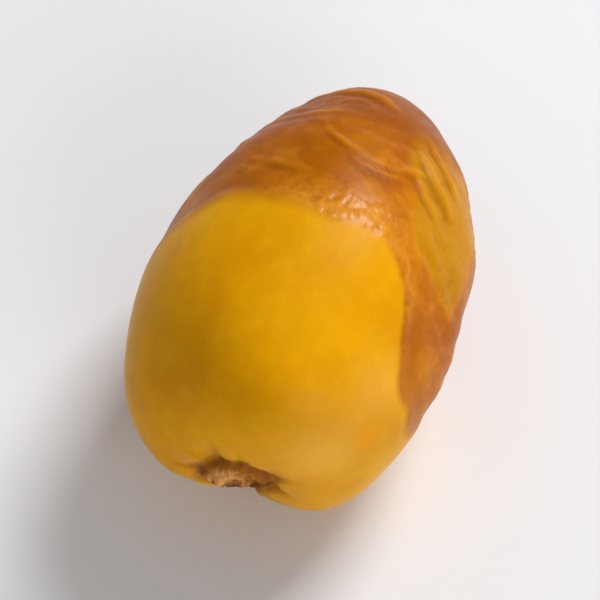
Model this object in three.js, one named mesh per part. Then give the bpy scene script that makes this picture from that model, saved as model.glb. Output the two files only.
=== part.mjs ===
// A khalas date, half ripe, lying on its side.
//
// The fruit is one solid, modelled in millimetres with +Z up. Its long axis runs along X, from the
// stem end at -X to the tip at +X, and it rests on z = 0. The form is a smooth body of revolution,
// pressed a little oval and bent, on which the natural details are raised or sunk by formulas: soft
// lobes and the scar at the stem end, the tip left by the style, and the loose, wrinkled skin of the
// part that has ripened.
import * as THREE from "three";
import { mergeVertices } from "three/addons/utils/BufferGeometryUtils.js";

// Body
const LENGTH = 36.1; // between the poles of the body, before the scar and the tip
const WIDTH = 25.2; // across, halfway along
const OVAL = 0.965; // height over width: the fruit lies on its flatter side
const RADIUS_WAVES = [1, 0.025, -0.008, 0.0235]; // shares of sin(k * polar): fuller at the stem end
const AXIS_WAVES = [1, -0.086, -0.0255]; // shares of cos(k * polar): a blunt stem end, a longer tip
const LIFT = 0.9; // how far the bend raises both ends
const SWAY = 0.28; // how far it moves both ends sideways, towards -Y

// Stem end
const LOBE_HEIGHT = 0.6;
const LOBE_AT = 108; // degrees round the axis, from +Y towards +Z, to one of the three lobes
const SHOULDER = { polar: 23, at: 305, height: 1.4, spread: 0.32 }; // the end's fuller side
const HOLLOW = { y: -0.75, z: -3.8, depth: 1.4, radius: 4.4 };
const SCAR = { y: -0.3, z: -2.2 };
const SCAR_RINGS = [
  // Each is a round ridge (height above 0) or groove (below 0) about the scar's centre.
  { radius: 2.75, height: -0.34, width: 0.42, uneven: 0.2, high: 250 },
  { radius: 1.0, height: 0.42, width: 1.15, uneven: 0.7, high: 20 },
  { radius: 1.3, height: -0.2, width: 0.25, uneven: 0.5, high: 250 },
];
const SCAR_BARS = [
  // The stubs of the stalk's strands: one upright ridge and one that lies across.
  { y: 0.95, z: -0.1, height: 0.35, width: 0.24, reach: 0.9 },
  { y: -0.75, z: -0.3, height: 0.45, width: 0.7, reach: 0.3 },
];
const PLEATS = [
  // Furrows that run out from the scar: angle in degrees, depth, and how far out each one fades.
  { at: 158, depth: 0.42, reach: 6.6 },
  { at: 136, depth: 0.26, reach: 5.2 },
  { at: 198, depth: 0.3, reach: 5.6 },
  { at: 267, depth: 1.2, reach: 9.0 },
  { at: 287, depth: 0.22, reach: 5.2 },
  { at: 330, depth: 0.3, reach: 6.0 },
  { at: 14, depth: 0.22, reach: 5.0 },
  { at: 63, depth: 0.36, reach: 6.6 },
  { at: 104, depth: 0.2, reach: 4.8 },
];
const PLEAT_WIDTH = 0.7;
const PLEAT_START = 2.7;

// Tip
const TIP = { height: 0.25, radius: 0.9 };

// Ripe part. It covers the tip half. Tongues of it reach back towards the stem end, and a tongue
// with a reach below 0 is one of firm skin that reaches into it, here on the underside.
const RIPE_EDGE = 1.4; // where its edge crosses the top, along X
const TONGUES = [
  { at: 172, reach: 9.5, width: 0.65, sharpness: 4 },
  { at: 350, reach: 7.0, width: 0.69, sharpness: 2 },
  { at: 264, reach: -3.4, width: 0.7, sharpness: 2 },
];
const EDGE_WIGGLES = [
  { waves: 7, phase: 0.5, height: 0.22 },
  { waves: 13, phase: 1.9, height: 0.14 },
];
const RIPE_SINK = 0.2; // the softened flesh has shrunk by this much
const SINK_OVER = 1.4; // over this distance in from the edge
const LOOSE_OVER = 5; // the skin is fully loose this far in from the edge
const FOLD_SPACING = 2.7;
const FOLD_HEIGHT = 0.05;

// Waves in space. The skin takes their height where it passes through them, so none gathers at an
// end of the fruit. X, y and z are radians to the millimetre.
const SWELLS = [
  { x: 0.3, y: 0.16, z: 0.22, phase: 0.4, height: 0.07 },
  { x: -0.21, y: 0.33, z: 0.12, phase: 2.3, height: 0.06 },
  { x: 0.12, y: -0.2, z: 0.36, phase: 4.1, height: 0.06 },
];
const DENTS = [
  { x: 0.62, y: 0.3, z: 0.24, phase: 0.2, height: 0.07 },
  { x: 0.28, y: -0.66, z: 0.4, phase: 2.1, height: 0.07 },
  { x: -0.44, y: 0.26, z: 0.7, phase: 4.0, height: 0.06 },
  { x: 0.85, y: 0.52, z: -0.47, phase: 1.1, height: 0.04 },
];
const FOLD_WANDER = [
  { x: 0, y: 0.4, z: 0.1, phase: 0.3, height: 1.2 },
  { x: -0.24, y: 0.14, z: 0.5, phase: 1.2, height: 1.0 },
  { x: 0.3, y: -0.75, z: 0.62, phase: 3.0, height: 0.35 },
];
const FOLD_PATCHES = [{ x: 0.46, y: 0.42, z: -0.3, phase: 0.8, height: 0.5 }];

// Rest
const SETTLE = 0.45; // how far the fruit's own weight has flattened its underside
const SETTLE_BLEND = 0.2;

// Mesh
const SPOKES = 76; // points round the axis
const HOOPS = 78; // steps from the stem end to the tip
const STEM_FOCUS = 0.62; // 0 spaces the hoops evenly; nearer 1 crowds them round the scar
const SAME_POINT = 1e-5; // points of the unit sphere nearer than this are one

const radians = THREE.MathUtils.degToRad;
const smoothstep = THREE.MathUtils.smoothstep;
const bell = (distance, width) => Math.exp(-((distance / width) ** 2));

// The polar angle from the stem end and the angle round the axis, for a point of the unit sphere.
function anglesOf(point) {
  const even = Math.acos(THREE.MathUtils.clamp(-point.x, -1, 1));
  const polar = even - (STEM_FOCUS * Math.sin(even) * (1 + Math.cos(even))) / 2;
  return { polar, turn: Math.atan2(point.z, point.y) };
}

function waveHeight(waves, { x, y, z }) {
  const one = (w) => w.height * Math.sin(w.x * x + w.y * y + w.z * z + w.phase);
  return waves.reduce((total, wave) => total + one(wave), 0);
}

// The plain body, and the direction that counts as outwards there.
function bodyPoint({ polar, turn }) {
  const sum = (shares, wave) =>
    shares.reduce((total, share, i) => total + share * wave((i + 1) * polar), 0);
  const radius = ((WIDTH / 2) * sum(RADIUS_WAVES, Math.sin)) / (1 - RADIUS_WAVES[2]);
  const along = ((-LENGTH / 2) * sum(AXIS_WAVES, Math.cos)) / (1 + AXIS_WAVES[2]);
  const bend = (along / (LENGTH / 2)) ** 2;
  const [y, z] = [radius * Math.cos(turn), radius * Math.sin(turn) * OVAL];
  return {
    point: new THREE.Vector3(along, y - SWAY * bend, z + LIFT * bend),
    outward: new THREE.Vector3(along / LENGTH ** 2, y / WIDTH ** 2, z / WIDTH ** 2).normalize(),
    section: { y, z },
  };
}

// Three soft lobes round the stem end, gone by mid-length.
function lobes({ polar, turn }) {
  if (polar > Math.PI / 2) return 0;
  return LOBE_HEIGHT * Math.sin(2 * polar) ** 3 * Math.cos(3 * (turn - radians(LOBE_AT)));
}

// The side of the stem end that is fuller than the rest.
function shoulder({ polar, turn }) {
  const lean = radians(SHOULDER.polar);
  const roundIt = Math.cos(turn - radians(SHOULDER.at));
  const near = Math.cos(polar) * Math.cos(lean) + Math.sin(polar) * Math.sin(lean) * roundIt;
  return SHOULDER.height * Math.exp((-2 * (1 - near)) / SHOULDER.spread ** 2);
}

// The scar where the fruit came off its stalk, as a height along -X: in a hollow, a groove round a
// low button with the strands' stubs on it.
function stemScar({ y, z }) {
  let height = -HOLLOW.depth * bell(Math.hypot(y - HOLLOW.y, z - HOLLOW.z), HOLLOW.radius);
  const [across, up] = [y - SCAR.y, z - SCAR.z];
  const out = Math.hypot(across, up);
  const turn = Math.atan2(up, across);
  for (const ring of SCAR_RINGS) {
    const share = 1 + ring.uneven * Math.cos(turn - radians(ring.high)) * Math.min(1, out);
    height += ring.height * share * bell(out - ring.radius, ring.width);
  }
  for (const bar of SCAR_BARS) {
    height += bar.height * bell(across - bar.y, bar.width) * bell(up - bar.z, bar.reach);
  }
  for (const pleat of PLEATS) {
    const off = turn - radians(pleat.at);
    const facing = Math.max(0, Math.cos(off));
    const started = smoothstep(out, PLEAT_START - 1, PLEAT_START);
    const fading = 1 - smoothstep(out, PLEAT_START, pleat.reach);
    height -= pleat.depth * facing * started * fading * bell(Math.sin(off) * out, PLEAT_WIDTH);
  }
  return height;
}

// Where the ripe part's edge lies along X, at an angle round the axis.
function ripeEdge(turn) {
  let edge = RIPE_EDGE;
  for (const t of TONGUES) {
    const off = Math.abs(2 * Math.sin((turn - radians(t.at)) / 2));
    edge -= t.reach * Math.exp(-((off / t.width) ** t.sharpness));
  }
  for (const w of EDGE_WIGGLES) edge += w.height * Math.sin(w.waves * turn + w.phase);
  return edge;
}

// The distance into the ripe part from its edge, below 0 on the firm side.
function ripeDepth(along, turn) {
  const step = 0.01;
  const slope = (ripeEdge(turn + step) - ripeEdge(turn - step)) / (2 * step);
  return (along - ripeEdge(turn)) / Math.hypot(1, slope / (WIDTH / 2));
}

// The relief of the ripe skin: it has sunk, is dented, and lies in folds that run round the tip.
function ripeRelief(point, depth) {
  if (depth <= 0) return 0;
  const loose = smoothstep(depth, 0, LOOSE_OVER);
  const along = point.x + waveHeight(FOLD_WANDER, point);
  const fold = FOLD_HEIGHT * Math.cos((2 * Math.PI * along) / FOLD_SPACING);
  const folded = 0.5 + waveHeight(FOLD_PATCHES, point);
  return (
    -RIPE_SINK * smoothstep(depth, 0, SINK_OVER) +
    loose * (waveHeight(DENTS, point) + fold * folded)
  );
}

// A point of the fruit's skin, before it is set down.
function skinPoint(angles) {
  const { point, outward, section } = bodyPoint(angles);
  const depth = ripeDepth(point.x, angles.turn);
  const body = lobes(angles) + shoulder(angles) + waveHeight(SWELLS, point);
  point.addScaledVector(outward, body + ripeRelief(point, depth));
  if (angles.polar < Math.PI / 2) point.x -= stemScar(section);
  else point.x += TIP.height * bell(Math.hypot(section.y, section.z), TIP.radius);
  return point;
}

// Presses a height flat at 0, with a soft turn up into the side.
function settled(height) {
  if (height >= SETTLE_BLEND) return height;
  if (height <= -SETTLE_BLEND) return 0;
  return (height + SETTLE_BLEND) ** 2 / (4 * SETTLE_BLEND);
}

function dateGeometry() {
  const sphere = new THREE.SphereGeometry(1, SPOKES, HOOPS);
  sphere.rotateZ(Math.PI / 2); // its first pole turns to -X
  sphere.deleteAttribute("normal");
  sphere.deleteAttribute("uv");
  const skin = mergeVertices(sphere, SAME_POINT);
  const position = skin.getAttribute("position");
  const points = [];
  for (let i = 0; i < position.count; i++) {
    points.push(skinPoint(anglesOf(new THREE.Vector3().fromBufferAttribute(position, i))));
  }
  const box = new THREE.Box3().setFromPoints(points);
  const middle = box.getCenter(new THREE.Vector3());
  points.forEach((p, i) => {
    const height = settled(p.z - box.min.z - SETTLE);
    position.setXYZ(i, p.x - middle.x, p.y - middle.y, height);
  });
  skin.computeVertexNormals();
  return skin;
}

const skinMaterial = new THREE.MeshStandardMaterial({
  color: 0xdb980f,
  roughness: 0.36,
  metalness: 0,
});

const fruit = new THREE.Mesh(dateGeometry(), skinMaterial);
fruit.name = "date";

const date = new THREE.Group();
date.add(fruit);

export default date;
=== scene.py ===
"""A khalas date, half ripe, lying on its side under soft studio light.

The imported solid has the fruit's form and its larger relief. The fruit shown here is the same
surface, worked out from the same named values on a finer grid, with the creases, pits and fine
wrinkles that only show close up. Lengths are in millimetres until a mesh or a light is made.
"""
import math

import bpy
import numpy as np
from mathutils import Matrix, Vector


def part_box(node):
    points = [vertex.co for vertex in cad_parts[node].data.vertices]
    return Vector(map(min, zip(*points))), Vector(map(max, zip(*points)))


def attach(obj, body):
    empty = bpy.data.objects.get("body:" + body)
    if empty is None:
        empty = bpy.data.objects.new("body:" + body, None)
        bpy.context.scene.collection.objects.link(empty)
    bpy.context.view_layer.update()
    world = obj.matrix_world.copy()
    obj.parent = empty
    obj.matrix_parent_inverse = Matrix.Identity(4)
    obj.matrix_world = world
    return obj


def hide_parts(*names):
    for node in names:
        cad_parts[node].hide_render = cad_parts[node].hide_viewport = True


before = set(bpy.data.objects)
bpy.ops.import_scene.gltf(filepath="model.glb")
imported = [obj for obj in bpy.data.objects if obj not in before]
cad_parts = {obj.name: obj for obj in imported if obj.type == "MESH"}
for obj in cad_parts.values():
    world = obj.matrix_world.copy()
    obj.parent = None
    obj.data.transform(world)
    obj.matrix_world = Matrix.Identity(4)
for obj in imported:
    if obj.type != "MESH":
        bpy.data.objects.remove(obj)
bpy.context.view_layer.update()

MM = 0.001

# Body, as in the part's source
LENGTH = 36.1
WIDTH = 25.2
OVAL = 0.965
RADIUS_WAVES = (1, 0.025, -0.008, 0.0235)
AXIS_WAVES = (1, -0.086, -0.0255)
LIFT = 0.9
SWAY = 0.28

# Stem end, as in the part's source
LOBE_HEIGHT = 0.6
LOBE_AT = 108
SHOULDER = dict(polar=23, at=305, height=1.4, spread=0.32)
HOLLOW = dict(y=-0.75, z=-3.8, depth=1.4, radius=4.4)
SCAR = dict(y=-0.3, z=-2.2)
SCAR_RINGS = [
    dict(radius=2.75, height=-0.34, width=0.42, uneven=0.2, high=250),
    dict(radius=1.0, height=0.42, width=1.15, uneven=0.7, high=20),
    dict(radius=1.3, height=-0.2, width=0.25, uneven=0.5, high=250),
]
SCAR_BARS = [
    dict(y=0.95, z=-0.1, height=0.35, width=0.24, reach=0.9),
    dict(y=-0.75, z=-0.3, height=0.45, width=0.7, reach=0.3),
]
PLEATS = [
    dict(at=158, depth=0.42, reach=6.6),
    dict(at=136, depth=0.26, reach=5.2),
    dict(at=198, depth=0.3, reach=5.6),
    dict(at=267, depth=1.2, reach=9.0),
    dict(at=287, depth=0.22, reach=5.2),
    dict(at=330, depth=0.3, reach=6.0),
    dict(at=14, depth=0.22, reach=5.0),
    dict(at=63, depth=0.36, reach=6.6),
    dict(at=104, depth=0.2, reach=4.8),
]
PLEAT_WIDTH = 0.7
PLEAT_START = 2.7
PLEAT_RISE = 1

# Tip and ripe part, as in the part's source
TIP = dict(height=0.25, radius=0.9)
RIPE_EDGE = 1.4
TONGUES = [
    dict(at=172, reach=9.5, width=0.65, sharpness=4),
    dict(at=350, reach=7.0, width=0.69, sharpness=2),
    dict(at=264, reach=-3.4, width=0.7, sharpness=2),
]
EDGE_WIGGLES = [
    dict(waves=7, phase=0.5, height=0.22),
    dict(waves=13, phase=1.9, height=0.14),
]
RIPE_SINK = 0.2
SINK_OVER = 1.4
LOOSE_OVER = 5
FOLD_SPACING = 2.7
FOLD_HEIGHT = 0.05
SWELLS = [
    dict(x=0.3, y=0.16, z=0.22, phase=0.4, height=0.07),
    dict(x=-0.21, y=0.33, z=0.12, phase=2.3, height=0.06),
    dict(x=0.12, y=-0.2, z=0.36, phase=4.1, height=0.06),
]
DENTS = [
    dict(x=0.62, y=0.3, z=0.24, phase=0.2, height=0.07),
    dict(x=0.28, y=-0.66, z=0.4, phase=2.1, height=0.07),
    dict(x=-0.44, y=0.26, z=0.7, phase=4.0, height=0.06),
    dict(x=0.85, y=0.52, z=-0.47, phase=1.1, height=0.04),
]
FOLD_WANDER = [
    dict(x=0, y=0.4, z=0.1, phase=0.3, height=1.2),
    dict(x=-0.24, y=0.14, z=0.5, phase=1.2, height=1.0),
    dict(x=0.3, y=-0.75, z=0.62, phase=3.0, height=0.35),
]
FOLD_SHARE = 0.5
FOLD_PATCHES = [dict(x=0.46, y=0.42, z=-0.3, phase=0.8, height=0.5)]
SETTLE = 0.45
SETTLE_BLEND = 0.2
STEM_FOCUS = 0.62

# Creases, which only this finer surface has. Here and below, swings are how often the noise
# goes up and down in each millimetre.
CREASES = [
    # Thin raised folds of ripe skin: centre line along = at + slope * off + curve * off ** 2,
    # where off is the angle round the axis from its middle, in radians.
    dict(at=8.1, mid=102, half=32, slope=0.0, curve=8.6, height=0.17, width=0.26),
    dict(at=7.3, mid=104, half=18, slope=0.4, curve=10.0, height=0.13, width=0.26),
    dict(at=9.9, mid=131, half=15, slope=-9.2, curve=0.0, height=0.18, width=0.38),
    dict(at=11.7, mid=137, half=15, slope=-9.2, curve=3.0, height=0.13, width=0.3),
    dict(at=7.9, mid=127, half=11, slope=-8.6, curve=0.0, height=0.1, width=0.26),
    dict(at=16.1, mid=70, half=40, slope=0.6, curve=-3.6, height=0.16, width=0.4),
    dict(at=11.6, mid=62, half=20, slope=1.2, curve=4.0, height=0.09, width=0.3),
    dict(at=5.1, mid=66, half=17, slope=-1.5, curve=5.0, height=0.08, width=0.3),
    dict(at=8.8, mid=20, half=24, slope=-2.0, curve=3.0, height=0.12, width=0.35),
    dict(at=10.4, mid=205, half=26, slope=2.4, curve=4.0, height=0.13, width=0.36),
    dict(at=6.2, mid=214, half=20, slope=3.5, curve=5.0, height=0.1, width=0.32),
    dict(at=9.6, mid=290, half=26, slope=-1.6, curve=4.0, height=0.12, width=0.34),
    dict(at=12.9, mid=330, half=30, slope=1.0, curve=3.0, height=0.12, width=0.34),
]
CREASE_WOBBLE = dict(swings=0.5, reach=0.28)
CREASE_QUIVER = dict(swings=1.4, reach=0.12)
CREASE_STRENGTH = dict(swings=0.6, usual=0.95, change=0.55, least=0.35, most=1.4)
CREASE_FULL = 0.45  # share of a crease's half length over which it has its full height
CREASE_VALLEY = dict(depth=0.55, off=2.1, width=1.3)  # in shares of the crease's own sizes
CREASE_START = (0, 2)

# Fine wrinkles, with their swings along X, Y and Z. Everywhere is the share of them that is
# left outside the patches where they are strong.
BANDS = dict(swings=(0.85, 0.24, 0.24), height=0.04)
NETWORK = dict(swings=(1.9, 1.0, 1.0), height=0.016, everywhere=0.35)
CRINKLES = dict(swings=(2.3, 0.6, 0.6), height=0.022, everywhere=0.25)
WRINKLE_NARROW = 2.2
WRINKLE_DRIFT = dict(swings=0.22, reach=1.4)
WRINKLE_PATCHES = dict(swings=0.17, edge=(-0.25, 0.5))
WRINKLE_START = (0.4, 4)
GRIT = dict(swings=0.8, height=0.012)
SMOOTH_ENDS = (0.3, 1.6)

# The moist, blistered strip just inside the edge of the ripe part
WET = dict(at=105, half=27, depth=1.0, width=1.5)
WET_FULL = 1.2
WET_START = (-1.2, 0.3)
BLISTERS = dict(swings=1, height=0.1)
FINE_BLISTERS = dict(swings=2, height=0.045, share=0.6)
BLISTER_NARROW = 2.6

# Stem scar: the parts of its relief, its colours and its painted shade that only this finer
# surface has
SCAR_ROUGH = dict(swings=1.1, share=0.09)
BAR_WANDER = 0.12
PLEAT_WANDER = 0.25
CORKY_EDGE = (2.3, 2.9)
CORK_STRANDS = dict(across=4.2, up=0.9, height=0.12)
CORK_GRIT = dict(swings=3.5, height=0.06)
CREST_GRAIN = 2.2
CREST_RANGE = (0.05, 0.7)
# Puckers are noise read on a circle of this size, so that they run out from the scar like spokes
PUCKERS = dict(circle=4.2, outward=0.25, height=0.13)
PUCKERS_START = (2.2, 2.8)
PUCKERS_END = (3.2, 5.2)
PUCKERS_END_WANDER = 0.8
RAYS = dict(end=(3.8, 6.4), light=(-0.2, 0.5), dark=(-0.1, 0.5), brown=0.2)
PLEAT_BROWN_END = (3.2, 5.4)
FURROW_FULL = 2.4
# Painted shade: the scar's low side and a line along the notch below it are coloured dark
LOW_PAINTED_SHADE = dict(start=(-0.2, 0.5), strength=0.75)
NOTCH_PAINTED_SHADE = dict(at=247, sides=(0.93, 0.99), out=4.4, width=1.6, strength=0.375)
STYLE_MARK = 0.8

# Colouring of the skin
RAGGED = dict(swings=0.33, reach=0.35)
SHARP_EDGE = dict(at=140, spread=0.9, half=0.3, softer=0.9)
BLUSH_SPOT = dict(at=(-11.4, -10.0, 3.8), radius=1.2)
PAINTED_SHEEN_SPOTS = [
    # Painted sheen: places where the firm skin is coloured paler, standing in for a soft highlight
    dict(at=(-14.4, -7.4, 4.0), radius=3.4, strength=0.55),
    dict(at=(-8.6, -9.5, 6.4), radius=2.6, strength=0.35),
]
OLIVE_CORNERS = [
    # Corners of the golden patch, along X and in degrees round the axis
    (0.9, 160),
    (1.3, 142),
    (2.5, 130),
    (5.3, 124),
    (18, 112),
    (18, 182),
    (6.6, 167),
]
OLIVE_EDGE = (-0.4, 0.6)
OLIVE_WANDER = 1.6
OLIVE_LOOSE = dict(turn=(152, 176), along=(4, 8), wander=3.5, softer=1.5)
OLIVE_END = (10.5, 15.5)
OLIVE_END_WANDER = 4
# Painted highlights: crests of folds and wrinkles are coloured paler, partly as drier skin and
# partly as painted highlight, and a pale painted highlight line runs along the golden patch's edge
OLIVE_RIM_HIGHLIGHT = dict(width=0.3, end=(4, 8), strength=0.8)
FOLD_FULL = 0.12
WRINKLE_CREST_HIGHLIGHT = (0.02, 0.06)
WRINKLE_CREST_HIGHLIGHT_SHARE = 0.45
# Painted shade: the ripe skin is coloured darker in the hollows of its folds and wrinkles
FOLD_VALLEY_SHADE = (0, 0.07)
WRINKLE_VALLEY_SHADE = (0, 0.022)
WRINKLE_VALLEY_SHADE_SHARE = 0.6
# Darker towards the tip, partly the ripest skin and partly painted shade
FAR_END = (9, 16)
FAR_WANDER = 3
# Painted shade: one side of the ripe part is coloured darker where shade falls on it
PAINTED_SHADE_SIDE = dict(at=52, half=34, strength=0.5)

SEED = 7
NOISE_GAIN = 1.6
LAYERS_GAIN = 1.5
GRID = 128  # squares along each side of the six patches that make up the fruit


def bell(distance, width):
    return np.exp(-((distance / width) ** 2))


def smoothstep(value, low, high):
    t = np.clip((value - low) / (high - low), 0, 1)
    return t * t * (3 - 2 * t)


def noise(points, seed=SEED):
    """Smooth noise from about -1 to 1, with one swing to each unit of length.

    Each corner of a cell has a slope of its own. The large numbers only scramble the corner's
    place and the seed into 32 bits, from which the slope's direction is taken.
    """
    cell = np.floor(points).astype(np.int64)
    inside = points - cell
    ease = inside**3 * (inside * (inside * 6 - 15) + 10)
    total = np.zeros(len(points))
    for corner in range(8):
        step = np.array([corner & 1, (corner >> 1) & 1, corner >> 2])
        spot = cell + step
        mixed = spot[:, 0] * 73856093 ^ spot[:, 1] * 19349663 ^ spot[:, 2] * 83492791
        mixed = (mixed + seed * 2654435761) & 0xFFFFFFFF
        mixed = (mixed ^ (mixed >> 13)) * 1274126177 & 0xFFFFFFFF
        mixed = (mixed ^ (mixed >> 16)) * 2246822519 & 0xFFFFFFFF
        along = (mixed & 0xFFFF) / 0x8000 - 1
        around = (mixed >> 16) / 0x10000 * 2 * math.pi
        flat = np.sqrt(1 - along**2)
        slope = np.stack([flat * np.cos(around), flat * np.sin(around), along], 1)
        weight = np.prod(np.where(step, ease, 1 - ease), axis=1)
        total += weight * np.sum(slope * (inside - step), axis=1)
    return NOISE_GAIN * total


def layered_noise(points, layers, seed=SEED):
    """Noise of several sizes added up, each half as large and half as strong as the one before."""
    return sum(noise(points * 2**i, seed + i) / 2**i for i in range(layers)) / LAYERS_GAIN


def wave_height(waves, points):
    """Long straight waves added up, as a height at each point."""
    x, y, z = points.T
    heights = [
        w["height"] * np.sin(w["x"] * x + w["y"] * y + w["z"] * z + w["phase"]) for w in waves
    ]
    return sum(heights)


def patchwork(side):
    """The six square patches of a cube's skin, as corner points and quads that share corners."""
    steps = np.arange(side + 1)
    index = {}
    quads = []
    for axis in range(3):
        for end in (0, side):
            turned = (axis + 1) % 3, (axis + 2) % 3
            names = np.zeros((side + 1, side + 1), int)
            for i in steps:
                for j in steps:
                    key = [0, 0, 0]
                    key[axis] = end
                    key[turned[0]] = int(i)
                    key[turned[1]] = int(j)
                    names[i, j] = index.setdefault(tuple(key), len(index))
            near = names[:-1, :-1], names[1:, :-1], names[1:, 1:], names[:-1, 1:]
            if end == 0:
                near = near[::-1]
            quads.append(np.stack(near, -1).reshape(-1, 4))
    corners = np.array(list(index)) * 2 / side - 1
    return corners, np.concatenate(quads)


def angles_of(corners):
    """The polar angle from the stem end and the angle round the axis, for points of the cube."""
    spread = np.tan(corners * math.pi / 4)
    x, y, z = spread.T
    even = np.arctan2(np.hypot(y, z), -x)
    polar = even - STEM_FOCUS * np.sin(even) * (1 + np.cos(even)) / 2
    return polar, np.arctan2(z, y)


def body_points(polar, turn):
    """The plain body's points, the directions straight out of it, and Y and Z off its own axis."""
    radius = sum(share * np.sin((i + 1) * polar) for i, share in enumerate(RADIUS_WAVES))
    radius *= WIDTH / 2 / (1 - RADIUS_WAVES[2])
    along = sum(share * np.cos((i + 1) * polar) for i, share in enumerate(AXIS_WAVES))
    along *= -LENGTH / 2 / (1 + AXIS_WAVES[2])
    bend = (along / (LENGTH / 2)) ** 2
    y = radius * np.cos(turn)
    z = radius * np.sin(turn) * OVAL
    points = np.stack([along, y - SWAY * bend, z + LIFT * bend], 1)
    outward = np.stack([along / LENGTH**2, y / WIDTH**2, z / WIDTH**2], 1)
    outward /= np.linalg.norm(outward, axis=1)[:, None]
    return points, outward, y, z


def lobes(polar, turn):
    """The three low lobes round the stem half."""
    height = LOBE_HEIGHT * np.sin(2 * polar) ** 3 * np.cos(3 * (turn - math.radians(LOBE_AT)))
    return np.where(polar < math.pi / 2, height, 0)


def shoulder(polar, turn):
    """The side of the stem end that is fuller than the rest."""
    lean = math.radians(SHOULDER["polar"])
    round_it = np.cos(turn - math.radians(SHOULDER["at"]))
    near = np.cos(polar) * math.cos(lean) + np.sin(polar) * math.sin(lean) * round_it
    return SHOULDER["height"] * np.exp(-2 * (1 - near) / SHOULDER["spread"] ** 2)


def stem_scar(y, z, points):
    """The stem scar's height along -X, and how strong each of its colours and its painted shade
    is.
    """
    hollow = bell(np.hypot(y - HOLLOW["y"], z - HOLLOW["z"]), HOLLOW["radius"])
    across = y - SCAR["y"]
    up = z - SCAR["z"]
    rough = layered_noise(points * SCAR_ROUGH["swings"], 3, SEED + 3)
    out = np.hypot(across, up)
    ragged = out * (1 + SCAR_ROUGH["share"] * rough)
    turn = np.arctan2(up, across)
    height = -HOLLOW["depth"] * hollow
    # Brown in the scar's grooves and pleats, partly painted shade
    furrow_brown_and_shade = np.zeros_like(out)
    for ring in SCAR_RINGS:
        lean = np.cos(turn - math.radians(ring["high"])) * np.minimum(1, out)
        shape = ring["height"] * (1 + ring["uneven"] * lean)
        shape = shape * bell(ragged - ring["radius"], ring["width"])
        height += shape
        furrow_brown_and_shade += np.maximum(0, -shape)
    for bar in SCAR_BARS:
        sides = bell(across - bar["y"] + BAR_WANDER * rough, bar["width"])
        height += bar["height"] * sides * bell(up - bar["z"], bar["reach"])
    for pleat in PLEATS:
        off = turn - math.radians(pleat["at"])
        facing = np.maximum(0, np.cos(off))
        started = smoothstep(out, PLEAT_START - PLEAT_RISE, PLEAT_START)
        fading = 1 - smoothstep(out, PLEAT_START, pleat["reach"])
        fold = pleat["depth"] * facing * started * fading
        fold = fold * bell(np.sin(off) * out + PLEAT_WANDER * rough, PLEAT_WIDTH)
        height -= fold
        furrow_brown_and_shade += fold * (1 - smoothstep(out, *PLEAT_BROWN_END))
    corky = 1 - smoothstep(ragged, *CORKY_EDGE)

    begun = smoothstep(out, *PUCKERS_START)
    gone = smoothstep(out, PUCKERS_END[0], PUCKERS_END[1] + PUCKERS_END_WANDER * rough)
    shown = begun * (1 - gone)
    sideways = PUCKERS["circle"] * np.cos(turn)
    upward = PUCKERS["circle"] * np.sin(turn)
    puckers = noise(np.stack([sideways, upward, PUCKERS["outward"] * out], 1), SEED + 4)
    height += PUCKERS["height"] * shown * puckers
    around = begun * (1 - smoothstep(out, *RAYS["end"]))
    furrow_brown_and_shade += RAYS["brown"] * around * smoothstep(-puckers, *RAYS["dark"])

    combed = np.stack([across * CORK_STRANDS["across"], up * CORK_STRANDS["up"], out], 1)
    grit = layered_noise(points * CORK_GRIT["swings"], 2, SEED + 6)
    grain = CORK_STRANDS["height"] * noise(combed, SEED + 5) + CORK_GRIT["height"] * grit
    raised = height + HOLLOW["depth"] * hollow + CREST_GRAIN * grain
    height += corky * grain

    # Painted shade on the scar's low side and along the notch below it
    low_side_shade = LOW_PAINTED_SHADE["strength"] * corky * smoothstep(-up, *LOW_PAINTED_SHADE["start"])
    facing = smoothstep(np.cos(turn - math.radians(NOTCH_PAINTED_SHADE["at"])), *NOTCH_PAINTED_SHADE["sides"])
    notch_shade = facing * bell(out - NOTCH_PAINTED_SHADE["out"], NOTCH_PAINTED_SHADE["width"])
    colours = {
        "furrow_brown_and_shade": np.clip(FURROW_FULL * furrow_brown_and_shade, 0, 1),
        "corky": corky,
        # Pale on the cork's raised parts and dark in its low parts, partly painted shade
        "crest_pale_and_hollow_shade": smoothstep(raised, *CREST_RANGE),
        "rays": around * smoothstep(puckers, *RAYS["light"]),
        "stain_and_shade": low_side_shade + NOTCH_PAINTED_SHADE["strength"] * notch_shade,
    }
    return height, colours


def ripe_edge(turn):
    """Where the ripe skin begins along X, at each turn round the axis."""
    edge = np.full_like(turn, RIPE_EDGE)
    for t in TONGUES:
        off = np.abs(2 * np.sin((turn - math.radians(t["at"])) / 2))
        edge -= t["reach"] * np.exp(-((off / t["width"]) ** t["sharpness"]))
    for w in EDGE_WIGGLES:
        edge += w["height"] * np.sin(w["waves"] * turn + w["phase"])
    return edge


def ripe_depth(along, turn):
    """The distance along the skin into the ripe part, below 0 on the firm part."""
    step = 0.01  # radians
    slope = (ripe_edge(turn + step) - ripe_edge(turn - step)) / (2 * step)
    return (along - ripe_edge(turn)) / np.hypot(1, slope / (WIDTH / 2))


def ripe_relief(points, depth):
    """The step at the ripe part's edge, with its dents and wide folds, as a height."""
    loose = smoothstep(depth, 0, LOOSE_OVER)
    along = points[:, 0] + wave_height(FOLD_WANDER, points)
    fold = FOLD_HEIGHT * np.cos(2 * math.pi * along / FOLD_SPACING)
    folded = FOLD_SHARE + wave_height(FOLD_PATCHES, points)
    relief = loose * (wave_height(DENTS, points) + fold * folded)
    return np.where(depth > 0, relief - RIPE_SINK * smoothstep(depth, 0, SINK_OVER), 0)


def angle_from(turn, degrees):
    """The angle from a direction in degrees to each turn, between half a turn either way."""
    return np.angle(np.exp(1j * (turn - math.radians(degrees))))


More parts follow.
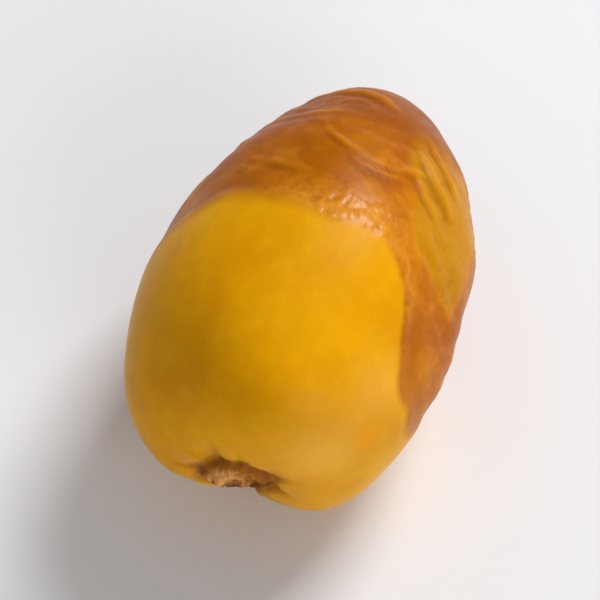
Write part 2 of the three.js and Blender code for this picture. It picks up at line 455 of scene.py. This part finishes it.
def creases(points, turn):
    """The thin single folds, as a height."""
    wobble = CREASE_WOBBLE["reach"] * noise(points * CREASE_WOBBLE["swings"], SEED + 11)
    wobble += CREASE_QUIVER["reach"] * noise(points * CREASE_QUIVER["swings"], SEED + 12)
    strength = CREASE_STRENGTH["change"] * noise(points * CREASE_STRENGTH["swings"], SEED + 13)
    strength += CREASE_STRENGTH["usual"]
    height = np.zeros(len(points))
    for c in CREASES:
        off = angle_from(turn, c["mid"])
        line = c["at"] + c["slope"] * off + c["curve"] * off**2
        tilt = np.hypot(1, (c["slope"] + 2 * c["curve"] * off) / (WIDTH / 2))
        side = (points[:, 0] - line + wobble) / tilt
        half = math.radians(c["half"])
        ends = 1 - smoothstep(np.abs(off), CREASE_FULL * half, half)
        beside = side + CREASE_VALLEY["off"] * c["width"]
        valley = CREASE_VALLEY["depth"] * bell(beside, CREASE_VALLEY["width"] * c["width"])
        height += c["height"] * ends * (bell(side, c["width"]) - valley)
    return height * np.clip(strength, CREASE_STRENGTH["least"], CREASE_STRENGTH["most"])


def olive_depth(along, turn):
    """The distance into the golden patch of the ripe part, on the skin unrolled flat."""
    around = np.degrees(turn)
    to_mm = math.radians(WIDTH / 2)
    inside = np.full(len(along), np.inf)
    for here, there in zip(OLIVE_CORNERS, OLIVE_CORNERS[1:] + OLIVE_CORNERS[:1]):
        side = np.array([there[0] - here[0], (there[1] - here[1]) * to_mm])
        across = (around - here[1]) * to_mm * side[0] - (along - here[0]) * side[1]
        inside = np.minimum(inside, across / np.hypot(*side))
    return inside


def wet_edge(depth, turn):
    """How far a place is in the moist, blistered strip just inside the edge of the ripe part."""
    off = angle_from(turn, WET["at"])
    return bell(depth - WET["depth"], WET["width"]) * bell(off, math.radians(WET["half"]))


def ridges(points, seed, narrow):
    """Ridges of height 1 along the lines where noise is zero, thinner as narrow grows."""
    return np.maximum(0, 1 - narrow * np.abs(noise(points, seed)))


def fine_wrinkles(points, depth, wet):
    """The height of the loose skin's small wrinkles and blisters, and the blisters' pattern."""
    adrift = points * WRINKLE_DRIFT["swings"]
    drift = np.stack([noise(adrift, SEED + s) for s in (21, 22, 23)], 1)
    bent = points + WRINKLE_DRIFT["reach"] * drift
    patches = noise(points * WRINKLE_PATCHES["swings"], SEED + 32)
    where = smoothstep(patches, *WRINKLE_PATCHES["edge"])
    bands = ridges(bent * BANDS["swings"], SEED + 31, WRINKLE_NARROW)
    network = ridges(bent * NETWORK["swings"], SEED + 33, WRINKLE_NARROW)
    crinkles = ridges(bent * CRINKLES["swings"], SEED + 36, WRINKLE_NARROW)
    height = BANDS["height"] * bands**1.5 * where
    height += NETWORK["height"] * network * (NETWORK["everywhere"] + where)
    height += CRINKLES["height"] * crinkles * (CRINKLES["everywhere"] + where)
    coarse = ridges(bent * BLISTERS["swings"], SEED + 34, BLISTER_NARROW)
    fine = ridges(bent * FINE_BLISTERS["swings"], SEED + 35, BLISTER_NARROW)
    blisters = wet * (BLISTERS["height"] * coarse + FINE_BLISTERS["height"] * fine)
    # The blisters' pattern, used for a lace of painted glints
    glint_lace = np.maximum(coarse, FINE_BLISTERS["share"] * fine)
    return smoothstep(depth, *WRINKLE_START) * height + blisters, glint_lace


def settled(height):
    """Heights above the table, with the lowest part of the underside pressed flat."""
    blended = (height + SETTLE_BLEND) ** 2 / (4 * SETTLE_BLEND)
    return np.where(height >= SETTLE_BLEND, height, np.where(height > -SETTLE_BLEND, blended, 0))


def skin_colours(points, turn, depth, wet, glint_lace, wrinkles, folds):
    """How strong each of the skin's colours, its painted shade and its painted highlights is at
    each point.
    """
    along = points[:, 0]
    ragged = RAGGED["reach"] * layered_noise(points * RAGGED["swings"], 4, SEED + 41)
    sharp = bell(angle_from(turn, SHARP_EDGE["at"]), SHARP_EDGE["spread"])
    half = SHARP_EDGE["half"] + SHARP_EDGE["softer"] * (1 - sharp)
    loose = smoothstep(np.degrees(turn), *OLIVE_LOOSE["turn"])
    loose = np.maximum(loose, smoothstep(along, *OLIVE_LOOSE["along"]))
    wander = OLIVE_WANDER + OLIVE_LOOSE["wander"] * loose
    golden = (olive_depth(along, turn) + wander * ragged) / (1 + OLIVE_LOOSE["softer"] * loose)
    olive_end = 1 - smoothstep(along + OLIVE_END_WANDER * ragged, *OLIVE_END)
    rim_highlight = bell(golden, OLIVE_RIM_HIGHLIGHT["width"]) * (1 - smoothstep(along, *OLIVE_RIM_HIGHLIGHT["end"]))
    # Paler crests of folds and wrinkles, partly drier skin and partly painted highlight, with a
    # painted highlight line along the golden patch's edge
    fold = folds / FOLD_FULL + WRINKLE_CREST_HIGHLIGHT_SHARE * smoothstep(wrinkles, *WRINKLE_CREST_HIGHLIGHT)
    fold += OLIVE_RIM_HIGHLIGHT["strength"] * rim_highlight
    # Painted shade in the hollows of the wrinkles and folds
    valley = WRINKLE_VALLEY_SHADE_SHARE * (1 - smoothstep(wrinkles, *WRINKLE_VALLEY_SHADE))
    valley += smoothstep(-folds, *FOLD_VALLEY_SHADE)
    # Painted shade on one side of the ripe part, added to the darker tip, which is partly ripest
    # skin and partly painted shade
    tip_and_shade_dark = bell(angle_from(turn, PAINTED_SHADE_SIDE["at"]), math.radians(PAINTED_SHADE_SIDE["half"]))
    tip_and_shade_dark = PAINTED_SHADE_SIDE["strength"] * tip_and_shade_dark + smoothstep(along + FAR_WANDER * ragged, *FAR_END)
    moist = np.clip(WET_FULL * wet, 0, 1)
    from_blush = np.linalg.norm(points - BLUSH_SPOT["at"], axis=1)
    # Painted sheen spots on the firm skin
    sheen_spots = np.zeros(len(points))
    for spot in PAINTED_SHEEN_SPOTS:
        away = np.linalg.norm(points - spot["at"], axis=1)
        sheen_spots += spot["strength"] * bell(away, spot["radius"])
    return {
        "ripe": smoothstep(depth + ragged, -half, half),
        # Painted sheen on the moist strip, with a lace of painted glints over its blisters
        "wet": moist * smoothstep(depth, *WET_START),
        "glint_lace": moist * glint_lace,
        # Paler fold crests, partly drier skin and partly painted highlight
        "fold": np.clip(fold, 0, 1),
        "valley": valley,
        "blush": bell(from_blush, BLUSH_SPOT["radius"]),
        "sheen_spots": sheen_spots,
        # Darker tip, partly painted shade, and painted shade on one side
        "tip_and_shade_dark": np.clip(tip_and_shade_dark, 0, 1),
        "olive": smoothstep(golden, *OLIVE_EDGE) * olive_end,
    }


def fruit_surface():
    """Points in millimetres, quads, and how strong each colour is at each point."""
    corners, quads = patchwork(GRID)
    polar, turn = angles_of(corners)
    points, outward, y, z = body_points(polar, turn)
    stem_side = polar < math.pi / 2
    from_axis = np.hypot(y, z)
    depth = ripe_depth(points[:, 0], turn)
    plain = lobes(polar, turn) + shoulder(polar, turn) + wave_height(SWELLS, points)
    plain += ripe_relief(points, depth)
    wet = wet_edge(depth, turn)
    wrinkles, glint_lace = fine_wrinkles(points, depth, wet)
    folds = creases(points, turn) * smoothstep(depth, *CREASE_START)
    grit = layered_noise(points * GRIT["swings"], 3, SEED + 42)
    detail = wrinkles + folds + GRIT["height"] * grit
    detail *= smoothstep(from_axis, *SMOOTH_ENDS)
    scar, scar_colours = stem_scar(y, z, points)
    tip = TIP["height"] * bell(from_axis, TIP["radius"])
    shaped = points + outward * (plain + detail)[:, None]
    shaped[:, 0] += np.where(stem_side, -scar, tip)
    low = shaped.min(0)
    middle = (low + shaped.max(0)) / 2
    placed = np.stack(
        [
            shaped[:, 0] - middle[0],
            shaped[:, 1] - middle[1],
            settled(shaped[:, 2] - low[2] - SETTLE),
        ],
        1,
    )
    colours = skin_colours(points, turn, depth, wet, glint_lace, wrinkles, folds)
    for name, strength in scar_colours.items():
        colours[name] = np.where(stem_side, strength, 0)
    # The small dark mark at the tip, where the flower's style was
    colours["stain_and_shade"] += np.where(stem_side, 0, bell(from_axis, STYLE_MARK))
    return placed, quads, colours


def make_fruit():
    points, quads, colours = fruit_surface()
    mesh = bpy.data.meshes.new("date_skin")
    mesh.from_pydata((points * MM).tolist(), [], quads.tolist())
    mesh.polygons.foreach_set("use_smooth", np.ones(len(quads), bool))
    for name, strength in colours.items():
        layer = mesh.attributes.new(name, "FLOAT", "POINT")
        layer.data.foreach_set("value", strength.astype(np.float32))
    mesh.update()
    fruit = bpy.data.objects.new("date_skin", mesh)
    bpy.context.scene.collection.objects.link(fruit)
    return fruit


class Nodes:
    """Adds shader nodes to a material and joins them up."""

    def __init__(self, material):
        self.tree = material.node_tree
        self.shader = self.tree.nodes["Principled BSDF"]
        self.place = None

    def add(self, kind, inputs=(), **settings):
        node = self.tree.nodes.new(kind)
        for key, value in settings.items():
            setattr(node, key, value)
        for key, value in dict(inputs).items():
            self.put(value, node.inputs[key])
        return node

    def put(self, value, socket):
        """Joins the value to the socket if it's another socket, and otherwise sets it there."""
        if isinstance(value, bpy.types.NodeSocket):
            self.tree.links.new(value, socket)
        else:
            socket.default_value = value

    def attribute(self, name):
        return self.add("ShaderNodeAttribute", attribute_name=name).outputs["Fac"]

    def noise(self, size_mm, detail=3, roughness=0.55, stretch=(1, 1, 1)):
        """Noise with features of that size on the object, from 0 to 1."""
        if self.place is None:
            self.place = self.add("ShaderNodeTexCoord").outputs["Object"]
        scaled = self.add("ShaderNodeMapping", {"Vector": self.place, "Scale": stretch})
        inputs = {
            "Vector": scaled.outputs["Vector"],
            "Scale": 1 / (size_mm * MM),
            "Detail": detail,
            "Roughness": roughness,
        }
        return self.add("ShaderNodeTexNoise", inputs).outputs["Fac"]

    def span(self, value, low, high, to_low=0.0, to_high=1.0):
        """The value moved from one range to another, and kept inside it."""
        inputs = {
            "Value": value,
            "From Min": low,
            "From Max": high,
            "To Min": to_low,
            "To Max": to_high,
        }
        return self.add("ShaderNodeMapRange", inputs).outputs["Result"]

    def math(self, operation, first, second):
        return self.add("ShaderNodeMath", {0: first, 1: second}, operation=operation).outputs[0]

    def times(self, value, share):
        return self.math("MULTIPLY", value, share)

    def mix(self, factor, first, second):
        """Two colours mixed. Sockets 6 and 7 are the ones for colours."""
        inputs = {0: factor, 6: first, 7: second}
        return self.add("ShaderNodeMix", inputs, data_type="RGBA").outputs[2]


def srgb(red, green, blue):
    """A colour given as 0 to 255 on a screen, as the shader's linear values."""

    def linear(value):
        v = value / 255
        return v / 12.92 if v <= 0.04045 else ((v + 0.055) / 1.055) ** 2.4

    return linear(red), linear(green), linear(blue), 1.0


# Colours, first of the firm skin, then of the ripe skin, then of what lies on them; some stand for
# painted shade and painted highlights
FIRM = srgb(234, 166, 0)
FIRM_DEEP = srgb(222, 150, 0)
FIRM_PALE = srgb(240, 178, 14)
FIRM_GREEN = srgb(212, 160, 4)
RIPE = srgb(198, 116, 0)
RIPE_DARK = srgb(172, 90, 0)
RIPE_LIGHT = srgb(210, 132, 2)
# The darkest ripe skin, also used for painted shade
RIPE_DEEP_AND_SHADE = srgb(136, 66, 0)
# Paler crests of folds, partly drier skin and partly painted highlight
FOLD_PALE_HIGHLIGHT = srgb(226, 150, 34)
OLIVE = srgb(189, 127, 0)
BLUSH = srgb(242, 160, 0)
# Painted sheen on the firm skin
SHEEN_PALE = srgb(252, 190, 80)
# Painted sheen of the moist strip
WET_SHEEN_GOLD = srgb(232, 156, 40)
CORK = srgb(218, 160, 100)
# Dark brown of the cork, also used for painted shade in its grooves and low parts
CORK_DARK_AND_SHADE = srgb(138, 78, 28)
RAY = srgb(222, 152, 66)
# A dark stain, also used for painted shade under the scar
STAIN_AND_SHADE = srgb(98, 44, 20)
SPECK = srgb(160, 90, 8)


# The skin's patterns, with the size of what they show in millimetres. The ranges are those of the
# noise, from 0 to 1, over which a colour comes in.
CLOUDS = dict(size=6, on_firm=(0.35, 0.68), on_ripe=(0.38, 0.66))
MOTTLES = dict(size=1.6, on_firm=(0.5, 0.8), on_ripe=(0.48, 0.74))
STREAKS = dict(size=1.1, stretch=(0.12, 1, 1), on_firm=(0.5, 0.75))
SPECKS = dict(size=0.4, roughness=0.3, shown=(0.77, 0.82))
PUCKER_SIZE = 0.5
PORE_SIZE = 0.16

# How strong the colours are where they are strongest
PALE_MOST = 0.5
GREEN_MOST = 0.35
LIGHT_MOST = 0.6
DARK_TIP_AND_SHADE_MOST = 0.8
FOLD_HIGHLIGHT_MOST = 0.3
VALLEY_SHADE_MOST = 0.38
WET_SHEEN_MOST = 0.22
GLINT_LACE_MOST = 0.45
RAYS_MOST = 0.5
FURROW_MOST = 0.6
CORKY_MOST = 0.85
SPECK_MOST = 0.3

# Where the scar's brown and painted shade come in, as shares of the furrow and of the cork
BROWNED = (0.1, 1)
CORKED = (0.1, 0.9)

# Gloss and relief
WAXY = dict(size=2.2, roughness=(0.3, 0.4))
MOIST = dict(size=1.2, roughness=(0.3, 0.42))
GLOSS_RANGE = (0.3, 0.7)
CORK_ROUGHNESS = 0.7
FIRM_RELIEF = 0.35
WET_RELIEF = 4
WET_GRAIN_ROUGHNESS = 0.5
BUMP_STRENGTH = 0.25
BUMP_DEPTH = 0.06
WET_COAT = 0.36
COAT_ROUGHNESS = 0.12
COAT_IOR = 1.4

# Light goes a little way under the skin, furthest as red. The low gloss keeps the fruit's edges,
# where the skin is seen at a slant, from going pale.
GLOW_WEIGHT = 0.35
GLOW_RADIUS = (1.0, 0.42, 0.08)
GLOW_SCALE = 1.6
SKIN_IOR = 1.2
SKIN_SPECULAR = 0.3


def skin_colour(n, ripe, wet):
    cloud = n.noise(CLOUDS["size"], detail=4)
    mottle = n.noise(MOTTLES["size"], detail=4)
    streak = n.noise(STREAKS["size"], stretch=STREAKS["stretch"])
    speck = n.noise(SPECKS["size"], detail=1, roughness=SPECKS["roughness"])
    firm = n.mix(n.span(cloud, *CLOUDS["on_firm"]), FIRM_DEEP, FIRM)
    firm = n.mix(n.span(mottle, *MOTTLES["on_firm"], 0, PALE_MOST), firm, FIRM_PALE)
    firm = n.mix(n.span(streak, *STREAKS["on_firm"], 0, GREEN_MOST), firm, FIRM_GREEN)
    # Painted sheen on the firm skin
    firm = n.mix(n.attribute("sheen_spots"), firm, SHEEN_PALE)
    firm = n.mix(n.attribute("blush"), firm, BLUSH)
    soft = n.mix(n.span(cloud, *CLOUDS["on_ripe"]), RIPE_DARK, RIPE)
    soft = n.mix(n.span(mottle, *MOTTLES["on_ripe"], 0, LIGHT_MOST), soft, RIPE_LIGHT)
    # The darker tip, partly ripest skin and partly painted shade, and painted shade on one side of
    # the ripe part
    soft = n.mix(n.times(n.attribute("tip_and_shade_dark"), DARK_TIP_AND_SHADE_MOST), soft, RIPE_DEEP_AND_SHADE)
    soft = n.mix(n.attribute("olive"), soft, OLIVE)
    # Paler crests of folds and wrinkles, partly drier skin and partly painted highlight
    soft = n.mix(n.times(n.attribute("fold"), FOLD_HIGHLIGHT_MOST), soft, FOLD_PALE_HIGHLIGHT)
    # Painted shade in the hollows of the wrinkles and folds
    soft = n.mix(n.times(n.attribute("valley"), VALLEY_SHADE_MOST), soft, RIPE_DEEP_AND_SHADE)
    colour = n.mix(ripe, firm, soft)
    # Painted sheen: the moist strip is coloured paler gold, most along a lace of painted glints
    wet_sheen = n.math("ADD", n.times(wet, WET_SHEEN_MOST), n.times(n.attribute("glint_lace"), GLINT_LACE_MOST))
    colour = n.mix(wet_sheen, colour, WET_SHEEN_GOLD)
    colour = n.mix(n.times(n.attribute("rays"), RAYS_MOST), colour, RAY)
    # Brown in the scar's grooves and pleats, partly painted shade
    browned = n.span(n.attribute("furrow_brown_and_shade"), *BROWNED, 0, FURROW_MOST)
    colour = n.mix(browned, colour, CORK_DARK_AND_SHADE)
    # The cork: pale on its raised parts and dark in its low parts, partly painted shade
    cork = n.mix(n.attribute("crest_pale_and_hollow_shade"), CORK_DARK_AND_SHADE, CORK)
    corked = n.span(n.attribute("corky"), *CORKED, 0, CORKY_MOST)
    colour = n.mix(corked, colour, cork)
    colour = n.mix(n.span(speck, *SPECKS["shown"], 0, SPECK_MOST), colour, SPECK)
    # The dark mark at the tip, and painted shade under the scar and along its notch
    return n.mix(n.attribute("stain_and_shade"), colour, STAIN_AND_SHADE)


def skin_roughness(n, ripe):
    waxy = n.span(n.noise(WAXY["size"], detail=4), *GLOSS_RANGE, *WAXY["roughness"])
    moist = n.span(n.noise(MOIST["size"], detail=4), *GLOSS_RANGE, *MOIST["roughness"])
    skin = n.add("ShaderNodeMix", {"Factor": ripe, "A": waxy, "B": moist}, data_type="FLOAT")
    corky = n.times(n.attribute("corky"), CORK_ROUGHNESS)
    return n.math("MAXIMUM", skin.outputs["Result"], corky)


def skin_bumps(n, ripe, wet):
    small = n.math("ADD", n.noise(PUCKER_SIZE), n.noise(PORE_SIZE, detail=2))
    relief = n.times(small, n.span(ripe, 0, 1, FIRM_RELIEF, 1))
    grain = n.noise(PUCKER_SIZE, detail=2, roughness=WET_GRAIN_ROUGHNESS)
    broken = n.times(grain, n.times(wet, WET_RELIEF))
    inputs = {
        "Height": n.math("ADD", relief, broken),
        "Strength": BUMP_STRENGTH,
        "Distance": BUMP_DEPTH * MM,
    }
    return n.add("ShaderNodeBump", inputs).outputs["Normal"]


def skin_material():
    material = bpy.data.materials.new("date_skin")
    material.use_nodes = True
    n = Nodes(material)
    ripe = n.attribute("ripe")
    wet = n.attribute("wet")
    inputs = {
        "Base Color": skin_colour(n, ripe, wet),
        "Roughness": skin_roughness(n, ripe),
        "Normal": skin_bumps(n, ripe, wet),
        "Subsurface Weight": GLOW_WEIGHT,
        "Subsurface Radius": GLOW_RADIUS,
        "Subsurface Scale": GLOW_SCALE * MM,
        "IOR": SKIN_IOR,
        "Specular IOR Level": SKIN_SPECULAR,
        "Coat Weight": n.times(wet, WET_COAT),
        "Coat Roughness": COAT_ROUGHNESS,
        "Coat IOR": COAT_IOR,
    }
    for name, value in inputs.items():
        n.put(value, n.shader.inputs[name])
    return material


# The view of the photograph. It looks down on the fruit from beyond its stem end.
VIEW_ELEVATION = 59.4
VIEW_TURN = 22.2  # degrees round from looking along +X, towards +Y
VIEW_DISTANCE = 264
VIEW_LENS = 200
VIEW_SHIFT_RIGHT = -1.0
VIEW_SHIFT_UP = -1.06
VIEW_CLIP = (0.01, 20)  # metres

FLOOR_HALF = 3.0  # metres
FLOOR_GREY = srgb(236, 236, 238)
FLOOR_ROUGHNESS = 0.9
LIGHTS = [
    # Where each is from the fruit, with its distance and side in metres and its power in watts
    dict(name="key", towards=(0.68, -0.22, 0.7), distance=0.8, size=0.34, power=5.6),
    dict(name="fill", towards=(-0.55, -0.75, 0.42), distance=1.0, size=0.7, power=3.6),
]
LIGHTS_AIM = 0.012  # metres above the floor
WORLD_STRENGTH = 0.3


def view_axes():
    """The directions to the right, up and back of the camera."""
    rise = math.radians(VIEW_ELEVATION)
    turn = math.radians(VIEW_TURN)
    ahead = Vector((math.cos(turn), math.sin(turn), 0))
    right = Vector((math.sin(turn), -math.cos(turn), 0))
    up = ahead * math.sin(rise) + Vector((0, 0, math.cos(rise)))
    back = -ahead * math.cos(rise) + Vector((0, 0, math.sin(rise)))
    return right, up, back


def make_camera(target):
    right, up, back = view_axes()
    data = bpy.data.cameras.new("camera")
    data.lens = VIEW_LENS
    data.clip_start, data.clip_end = VIEW_CLIP
    camera = bpy.data.objects.new("camera", data)
    bpy.context.scene.collection.objects.link(camera)
    aim = target + (right * VIEW_SHIFT_RIGHT + up * VIEW_SHIFT_UP) * MM
    camera.location = aim + back * VIEW_DISTANCE * MM
    camera.rotation_euler = back.to_track_quat("Z", "Y").to_euler()
    bpy.context.scene.camera = camera


def make_floor():
    mesh = bpy.data.meshes.new("floor")
    half = FLOOR_HALF
    corners = [(-half, -half, 0), (half, -half, 0), (half, half, 0), (-half, half, 0)]
    mesh.from_pydata(corners, [], [(0, 1, 2, 3)])
    floor = bpy.data.objects.new("floor", mesh)
    bpy.context.scene.collection.objects.link(floor)
    material = bpy.data.materials.new("floor")
    material.use_nodes = True
    shader = material.node_tree.nodes["Principled BSDF"]
    shader.inputs["Base Color"].default_value = FLOOR_GREY
    shader.inputs["Roughness"].default_value = FLOOR_ROUGHNESS
    mesh.materials.append(material)


def make_light(name, towards, distance, size, power):
    """A square soft light that faces the fruit from that direction."""
    data = bpy.data.lights.new(name, "AREA")
    data.shape = "SQUARE"
    data.size = size
    data.energy = power
    light = bpy.data.objects.new(name, data)
    bpy.context.scene.collection.objects.link(light)
    direction = Vector(towards).normalized()
    light.location = direction * distance + Vector((0, 0, LIGHTS_AIM))
    light.rotation_euler = direction.to_track_quat("Z", "Y").to_euler()


def make_studio():
    for light in LIGHTS:
        make_light(**light)
    world = bpy.data.worlds.new("studio")
    world.use_nodes = True
    background = world.node_tree.nodes["Background"]
    background.inputs["Color"].default_value = (1, 1, 1, 1)
    background.inputs["Strength"].default_value = WORLD_STRENGTH
    bpy.context.scene.world = world
    bpy.context.scene.view_settings.view_transform = "Standard"


fruit = make_fruit()
fruit.data.materials.append(skin_material())
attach(fruit, "root")
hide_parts("date")
make_floor()
make_studio()
low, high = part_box("date")
make_camera((low + high) / 2)
